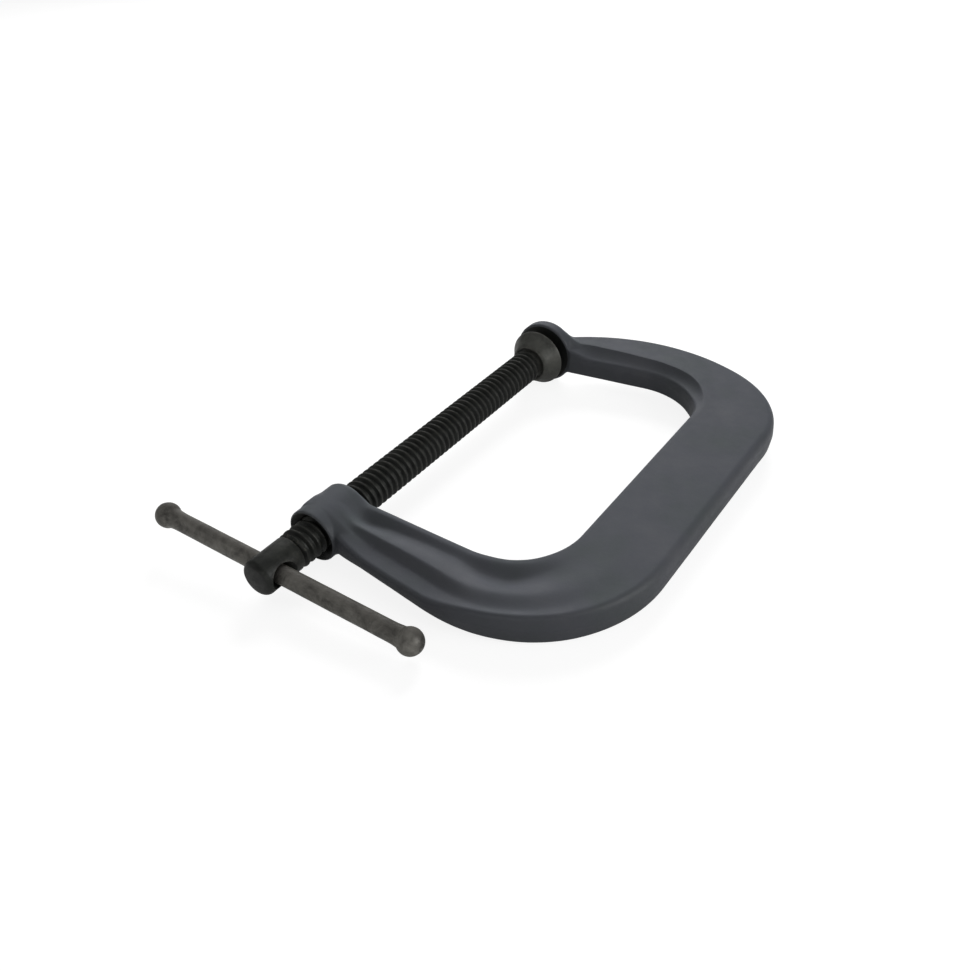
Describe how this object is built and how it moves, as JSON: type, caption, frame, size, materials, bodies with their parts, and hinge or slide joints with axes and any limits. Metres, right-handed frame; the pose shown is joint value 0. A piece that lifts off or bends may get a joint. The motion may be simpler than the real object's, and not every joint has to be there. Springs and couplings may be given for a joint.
{
  "type": "C-clamp",
  "caption": "Forged C-clamp with a threaded screw, a swivel pad and a sliding bar handle, for holding work between the pad and a fixed anvil.",
  "frame": {"origin": "centre of the anvil's jaw face", "axes": "+Y along the screw from the handle to the anvil, +X from the screw to the spine, +Z square to the clamp's plane"},
  "size_m": [0.2159, 0.274, 0.0354],
  "materials": {
    "frame_paint": "semi-gloss blue-grey enamel over forged steel",
    "black_oxide": "black oxide, lightly oiled",
    "bar_steel": "worn brown-grey oxide with bright scuffs",
    "pad_steel": "dark oxide, satin",
    "spring_wire": "plain spring steel"
  },
  "bodies": {
    "frame": {"frame": "frame_paint"},
    "pad_carrier": {"retaining_ring": "spring_wire"},
    "screw": {"screw": "black_oxide"},
    "handle": {"handle": "bar_steel"},
    "swivel_pad": {"swivel_pad": "pad_steel"}
  },
  "joints": [
    {"name": "screw_travel", "type": "slide", "parent": "frame", "child": "pad_carrier", "axis": [0, 1, 0], "range_m": [-0.1478, 0.0053]},
    {"name": "screw_turn", "type": "hinge", "parent": "pad_carrier", "child": "screw", "pos_m": [0, -0.2145, 0], "axis": [0, 1, 0], "range_deg": [-13640, 488]},
    {"name": "handle_slide", "type": "slide", "parent": "screw", "child": "handle", "axis": [1, 0, 0], "range_m": [-0.062, 0.0514]},
    {"name": "pad_tilt", "type": "hinge", "parent": "pad_carrier", "child": "swivel_pad", "pos_m": [0, -0.0126, 0], "axis": [0, 0, 1], "range_deg": [-3, 3]}
  ],
  "couplings": [
    {"joint": "screw_travel", "follows": "screw_turn", "m_per_rad": 0.0006207}
  ]
}
